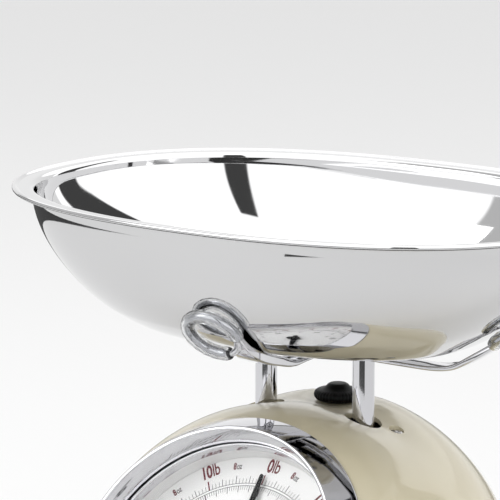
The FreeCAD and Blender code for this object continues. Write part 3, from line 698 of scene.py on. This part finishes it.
def ticks(name, look, marks):
    """Flat printed bars: (inner radius, outer radius, clockwise angle, width)."""
    verts, faces = [], []
    for inner, outer, turn, width in marks:
        start = len(verts)
        spread = [math.degrees(width / 2 / radius) for radius in (inner, outer)]
        verts += [dial_point(inner, turn - spread[0]), dial_point(outer, turn - spread[1]),
                  dial_point(outer, turn + spread[1]), dial_point(inner, turn + spread[0])]
        faces.append((start, start + 1, start + 2, start + 3))
    piece = add_piece(name, verts, faces, look, "root", DIAL_FRAME, smooth=False)


def rings(name, look, circles):
    """Thin printed circles: (radius, width)."""
    verts, faces = [], []
    count = 240
    for radius, width in circles:
        start = len(verts)
        for step in range(count):
            turn = 360 * step / count
            verts += [dial_point(radius - width / 2, turn), dial_point(radius + width / 2, turn)]
        for step in range(count):
            after = (step + 1) % count
            faces.append((start + 2 * step, start + 2 * step + 1, start + 2 * after + 1, start + 2 * after))
    piece = add_piece(name, verts, faces, look, "root", DIAL_FRAME, smooth=False)


def numerals(name, look, words):
    """Printed words: (text, cap height, weight, radius of the middle, clockwise angle, sideways shift)."""
    for place, (text, height, weight, radius, turn, shift) in enumerate(words):
        curve = bpy.data.curves.new("%s_%02d" % (name, place), "FONT")
        curve.body = text
        curve.size = height * MM / 0.7
        curve.align_x = "LEFT"
        curve.align_y = "CENTER"
        curve.offset = weight * MM
        curve.extrude = 0.00001
        curve.space_character = 0.95
        word = bpy.data.objects.new("%s_%02d" % (name, place), curve)
        bpy.context.scene.collection.objects.link(word)
        word.data.materials.append(look)
        spot = Matrix.Translation(Vector(dial_point(radius, turn)) * MM)
        aside = Matrix.Translation(Vector((shift * MM, 0, 0)))
        squeeze = Matrix.Diagonal((0.66, 1, 1, 1))
        word.matrix_world = DIAL_FRAME @ spot @ Matrix.Rotation(-math.radians(turn), 4, "Z") @ aside @ squeeze
        bpy.context.view_layer.update()
        mesh = bpy.data.meshes.new_from_object(word)
        mesh.transform(word.matrix_world)
        piece = bpy.data.objects.new("%s_%02d" % (name, place), mesh)
        bpy.context.scene.collection.objects.link(piece)
        bpy.data.objects.remove(word)
        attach(piece, "root")


def print_dial():
    """Pounds and ounces outside, kilograms inside, in one turn each."""
    pound = 360 / POUNDS
    red, black, grey = [], [], []
    for ounce in range(POUNDS * 16):
        turn = ounce * pound / 16
        if ounce % 16 == 0:
            red.append((50.6, 55.6, turn, 0.75))
        elif ounce % 8 == 0:
            black.append((50.6, 54.8, turn, 0.35))
        elif ounce % 4 == 0:
            black.append((50.6, 54.2, turn, 0.3))
        else:
            black.append((50.6, 53.2, turn, 0.22))
    for step in range(KILOS * 50):
        turn = step * 360 / (KILOS * 50)
        if step % 25 == 0:
            grey.append((44.1, 49.3, turn, 0.6))
        elif step % 5 == 0:
            grey.append((46.0, 49.3, turn, 0.35))
        else:
            grey.append((47.2, 49.3, turn, 0.22))
    ticks("pound_marks", INK_RED, red)
    ticks("ounce_marks", INK_BLACK, black)
    ticks("kilo_marks", INK_GREY, grey)
    rings("scale_lines", INK_BLACK, [(50.6, 0.25), (49.3, 0.25)])
    numerals("pound_figure", INK_RED, [("%d" % mark, 6.6, 0.3, 60.3, mark * pound, -0.4 - 2.6 * (mark > 9))
                                       for mark in range(POUNDS)])
    numerals("pound_unit", INK_RED, [("lb", 6.6, 0.12, 60.3, mark * pound, 2.7 + 0.4 * (mark > 9))
                                     for mark in range(POUNDS)])
    numerals("half_pound_figure", INK_RED,
             [("8", 3.4, 0.18, 59.8, (mark + 0.5) * pound, -2.4) for mark in range(POUNDS)])
    numerals("half_pound_unit", INK_GREY,
             [("oz", 3.2, 0.06, 59.6, (mark + 0.5) * pound, -0.6) for mark in range(POUNDS)])
    kilo = 360 / KILOS
    numerals("kilo_figure", INK_BLACK, [("%d" % mark, 5.8, 0.26, 39.0, mark * kilo, -3.4)
                                        for mark in range(KILOS)])
    numerals("kilo_unit", INK_BLACK, [("kg", 5.6, 0.1, 39.0, mark * kilo, -0.4) for mark in range(KILOS)])
    numerals("half_kilo_figure", INK_BLACK,
             [("500", 3.0, 0.06, 40.2, (mark + 0.5) * kilo, -3.6) for mark in range(KILOS)])


print_dial()

# ---------------------------------------------------------------- finishes of the frame's own pieces
for node_name, item in frame["nodes"].items():
    look = LOOKS[slot_of(node_name)]
    item.data.materials.clear()
    item.data.materials.append(look)


# ---------------------------------------------------------------- studio
DIFFUSE_SKY, GLOSSY_SKY = 0.92, 1.7
# inner and outer radius in metres, first and last azimuth in degrees
FLOOR_CARDS = [(0.98, 2.2, 0, 360), (0.79, 0.98, -98, -41)]
# azimuth, half width, lowest and highest elevation in degrees, share of light left
STUDIO_GAPS = [(-57, 6.0, -2, 55, 0.045), (61, 8.0, -2, 50, 0.045), (-168, 32.0, -5, 60, 0.42),
               (125, 50.0, -5, 22, 0.62)]


def add_light(name, place, aim, size, power):
    """A rectangular soft light turned towards a point."""
    data = bpy.data.lights.new(name, "AREA")
    data.shape = "RECTANGLE"
    data.size, data.size_y = size
    data.energy = power
    lamp = bpy.data.objects.new(name, data)
    bpy.context.scene.collection.objects.link(lamp)
    lamp.location = place
    lamp.rotation_euler = (Vector(aim) - Vector(place)).to_track_quat("-Z", "Y").to_euler()


def studio_world():
    """A white surround with darker gaps between its soft boxes, brighter in reflections."""
    world = bpy.data.worlds.new("studio")
    world.use_nodes = True
    tree = world.node_tree
    place = tree.nodes.new("ShaderNodeTexCoord")
    last = None
    for azimuth, half_width, low, high, left in STUDIO_GAPS:
        flat = tree.nodes.new("ShaderNodeVectorMath")
        flat.operation = "MULTIPLY"
        flat.inputs[1].default_value = (1, 1, 0)
        tree.links.new(place.outputs["Generated"], flat.inputs[0])
        unit = tree.nodes.new("ShaderNodeVectorMath")
        unit.operation = "NORMALIZE"
        tree.links.new(flat.outputs[0], unit.inputs[0])
        dot = tree.nodes.new("ShaderNodeVectorMath")
        dot.operation = "DOT_PRODUCT"
        dot.inputs[1].default_value = (math.cos(math.radians(azimuth)), math.sin(math.radians(azimuth)), 0)
        tree.links.new(unit.outputs[0], dot.inputs[0])
        across = ramp(tree, dot.outputs["Value"], math.cos(math.radians(half_width + 1)),
                      math.cos(math.radians(half_width - 1)), 0, 1)
        split = tree.nodes.new("ShaderNodeSeparateXYZ")
        tree.links.new(place.outputs["Generated"], split.inputs[0])
        above = ramp(tree, split.outputs["Z"], math.sin(math.radians(low - 1.5)),
                     math.sin(math.radians(low + 1.5)), 0, 1)
        below = ramp(tree, split.outputs["Z"], math.sin(math.radians(high - 1.5)),
                     math.sin(math.radians(high + 1.5)), 1, 0)
        gap = product(tree, product(tree, across, above), below)
        light = ramp(tree, gap, 0, 1, 1, left)
        last = light if last is None else product(tree, last, light)
    path = tree.nodes.new("ShaderNodeLightPath")
    lift = ramp(tree, path.outputs["Is Glossy Ray"], 0, 1, DIFFUSE_SKY, GLOSSY_SKY)
    strength = product(tree, last, lift)
    tree.links.new(strength, tree.nodes["Background"].inputs["Strength"])
    tree.nodes["Background"].inputs["Color"].default_value = (1, 1, 1, 1)
    bpy.context.scene.world = world


def ramp(tree, value, low, high, first, second):
    """A smooth step of a value from first to second between low and high."""
    span = tree.nodes.new("ShaderNodeMapRange")
    span.interpolation_type = "SMOOTHSTEP"
    for name, number in (("From Min", low), ("From Max", high), ("To Min", first), ("To Max", second)):
        span.inputs[name].default_value = number
    tree.links.new(value, span.inputs["Value"])
    return span.outputs["Result"]


def product(tree, first, second):
    """Two values multiplied."""
    times = tree.nodes.new("ShaderNodeMath")
    times.operation = "MULTIPLY"
    tree.links.new(first, times.inputs[0])
    tree.links.new(second, times.inputs[1])
    return times.outputs[0]


def dark_floor_card():
    """Black cards on the floor that only reflections see; they give the chrome its dark lines."""
    verts, faces = [], []
    for inner, outer, first, last in FLOOR_CARDS:
        start, steps = len(verts), 60
        for radius in (inner, outer):
            for step in range(steps + 1):
                turn = math.radians(first + (last - first) * step / steps)
                verts.append((radius * math.cos(turn), radius * math.sin(turn), 0.002))
        faces += [(start + step, start + step + 1, start + steps + 2 + step, start + steps + 1 + step)
                  for step in range(steps)]
    mesh = bpy.data.meshes.new("floor_card")
    mesh.from_pydata(verts, [], faces)
    mesh.materials.append(material("card_black", (0.01, 0.01, 0.01), 0.8))
    card = bpy.data.objects.new("floor_card", mesh)
    bpy.context.scene.collection.objects.link(card)
    card.visible_camera = False
    card.visible_diffuse = False
    card.visible_transmission = False
    card.visible_shadow = False


def studio():
    """Pale floor, surround, reflection cards and two soft lights."""
    mesh = bpy.data.meshes.new("floor")
    half = 30.0
    corners = [(-half, -half, 0), (half, -half, 0), (half, half, 0), (-half, half, 0)]
    mesh.from_pydata(corners, [], [(0, 1, 2, 3)])
    mesh.materials.append(material("floor_white", (0.95, 0.95, 0.95), 0.8, Specular_IOR_Level=0.0))
    floor = bpy.data.objects.new("floor", mesh)
    bpy.context.scene.collection.objects.link(floor)
    studio_world()
    dark_floor_card()
    add_light("key", (-1.2, -1.5, 1.6), (0, 0, 0.2), (1.2, 1.2), 9)
    add_light("top", (0.1, 0.1, 1.9), (0, 0, 0.2), (1.4, 1.4), 8)


CAMERA_PLACE, CAMERA_AIM, CAMERA_LENS = (0.78962, -1.13866, 0.52863), (-0.0256, -0.01784, 0.25722), 211.1


def camera():
    """The view that the main render is made from."""
    data = bpy.data.cameras.new("camera")
    data.lens = CAMERA_LENS
    data.sensor_width = 36
    data.clip_end = 100
    view = bpy.data.objects.new("camera", data)
    bpy.context.scene.collection.objects.link(view)
    view.location = CAMERA_PLACE
    view.rotation_euler = (Vector(CAMERA_AIM) - view.location).to_track_quat("-Z", "Y").to_euler()
    bpy.context.scene.camera = view


studio()
camera()
bpy.context.scene.view_settings.view_transform = "Standard"
bpy.context.scene.view_settings.look = "None"
